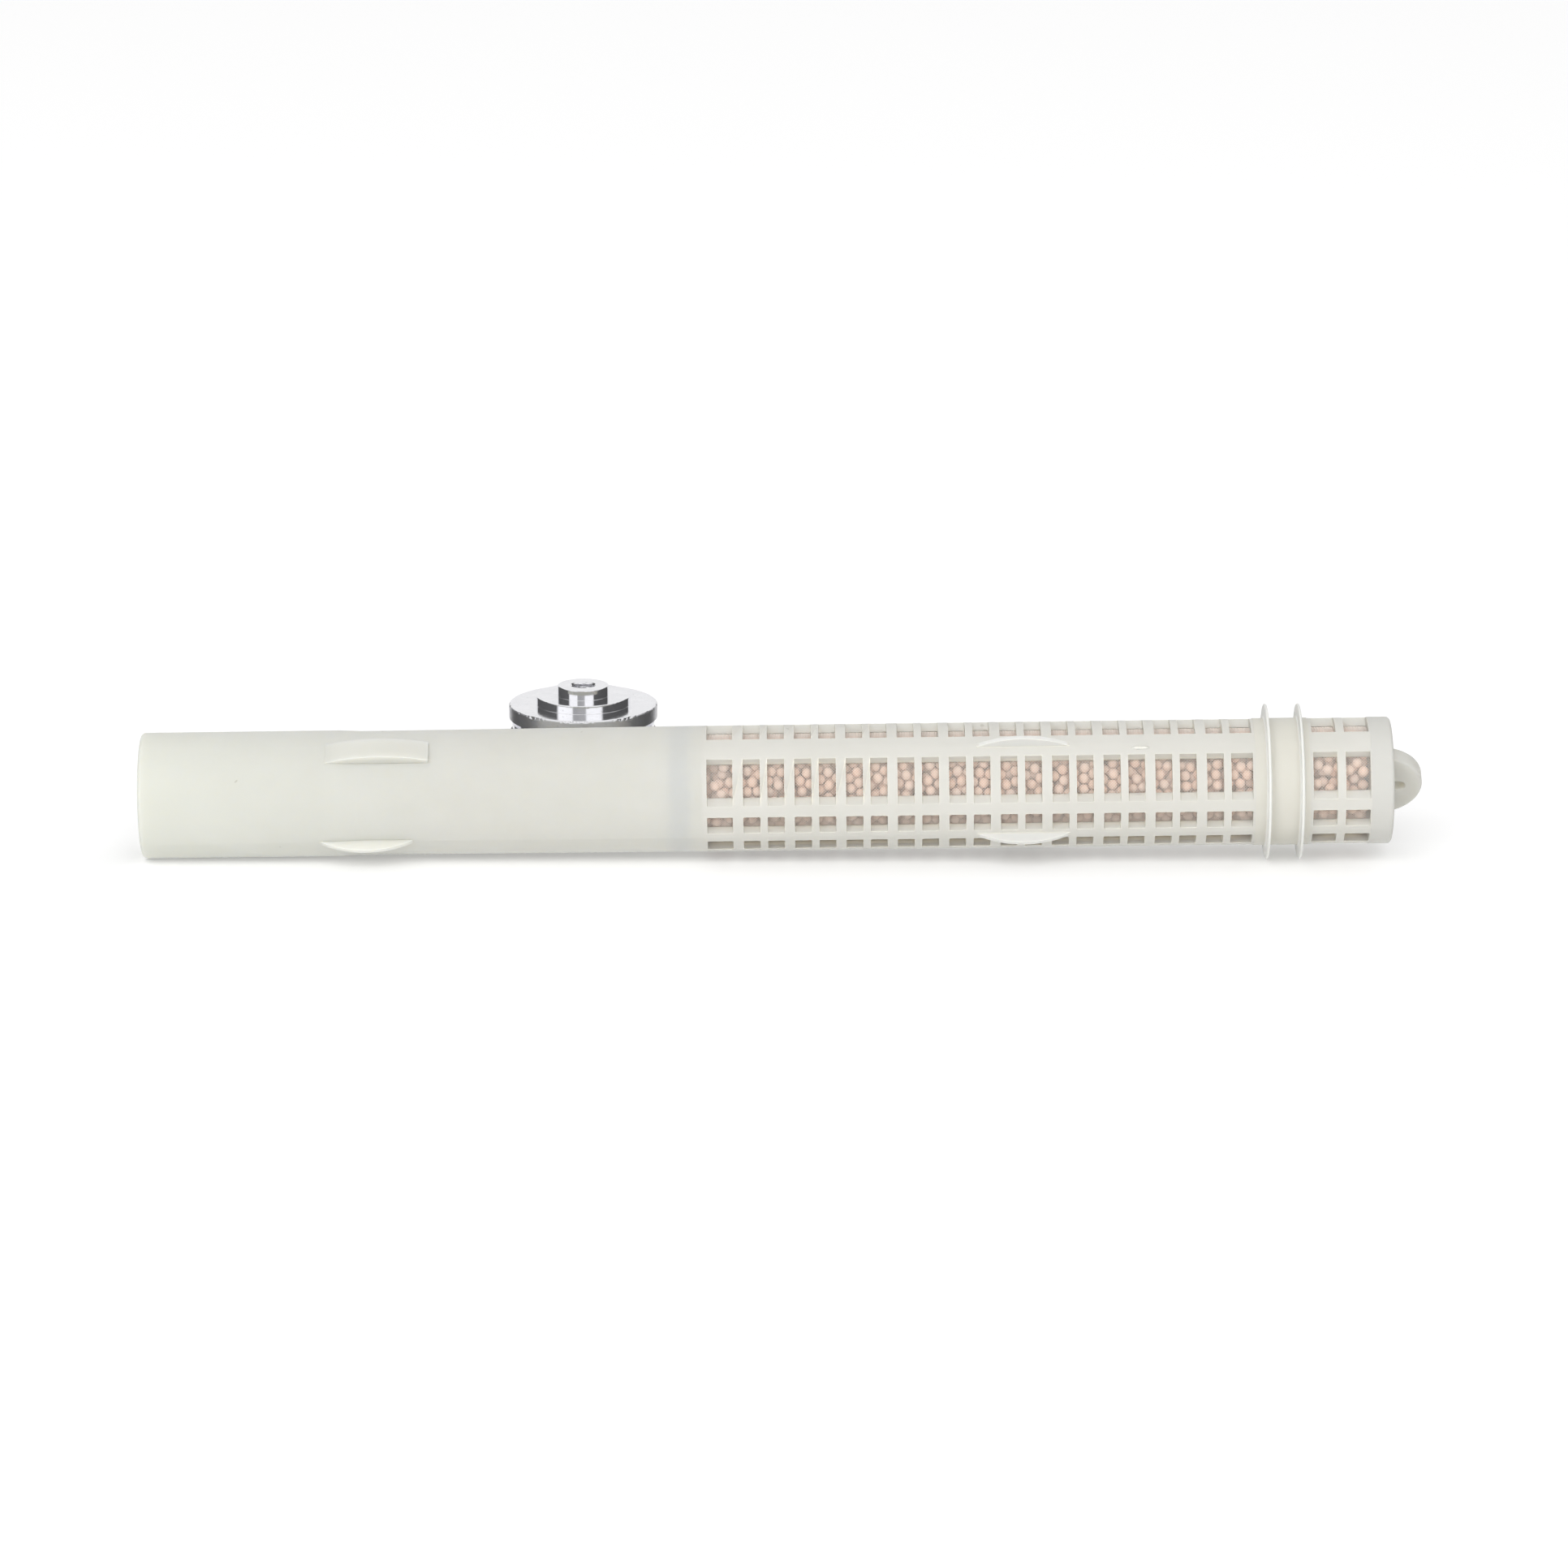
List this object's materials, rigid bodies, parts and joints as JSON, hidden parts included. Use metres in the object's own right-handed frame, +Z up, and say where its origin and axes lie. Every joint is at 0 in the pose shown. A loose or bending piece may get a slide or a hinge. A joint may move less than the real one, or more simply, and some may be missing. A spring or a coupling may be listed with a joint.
{
  "type": "receiver drier cartridge",
  "caption": "Desiccant filter cartridge for an air-conditioning receiver: moulded tube and window cage with net, beads, sealing fins and pull lug, with its turned aluminium end plug.",
  "frame": {"origin": "bottom centre of the box round the whole set, on the surface it lies on", "axes": "+X along the cartridge from its open end to the pull lug, +Y from the cartridge to the plug behind it, +Z up. The cartridge axis leans 0.756 degrees up towards the lug, because it rests on its mouth and its first fin."},
  "size_m": [0.234, 0.065, 0.0285],
  "materials": {
    "natural_nylon": "natural off-white nylon, slightly translucent, satin",
    "cage_nylon": "natural off-white nylon, slightly translucent, satin",
    "seal_nylon": "softer, slightly yellower nylon, satin",
    "cap_nylon": "natural off-white nylon, satin",
    "woven_net": "fine woven nylon net, plain weave",
    "desiccant": "dusty pink molecular-sieve beads about 2 mm across",
    "plate_nylon": "natural off-white nylon",
    "felt": "pressed white filter felt",
    "turned_aluminium": "bright turned faces with fine tool marks",
    "seal_rubber": "black moulded rubber"
  },
  "bodies": {
    "cartridge": {"spacer_tube": "natural_nylon", "window_cage": "cage_nylon", "fin_seal_ring": "seal_nylon", "end_cap": "cap_nylon", "net_sleeve": "woven_net", "desiccant_beads": "desiccant", "perforated_plate": "plate_nylon", "inner_felt_pad": "felt", "outer_felt_pad": "felt"},
    "plug": {"plug_body": "turned_aluminium", "upper_o_ring": "seal_rubber", "lower_o_ring": "seal_rubber"}
  },
  "joints": [
    {"name": "plug_lift", "type": "slide", "parent": "cartridge", "child": "plug", "axis": [0, 0, 1], "range_m": [0, 0.04]}
  ]
}
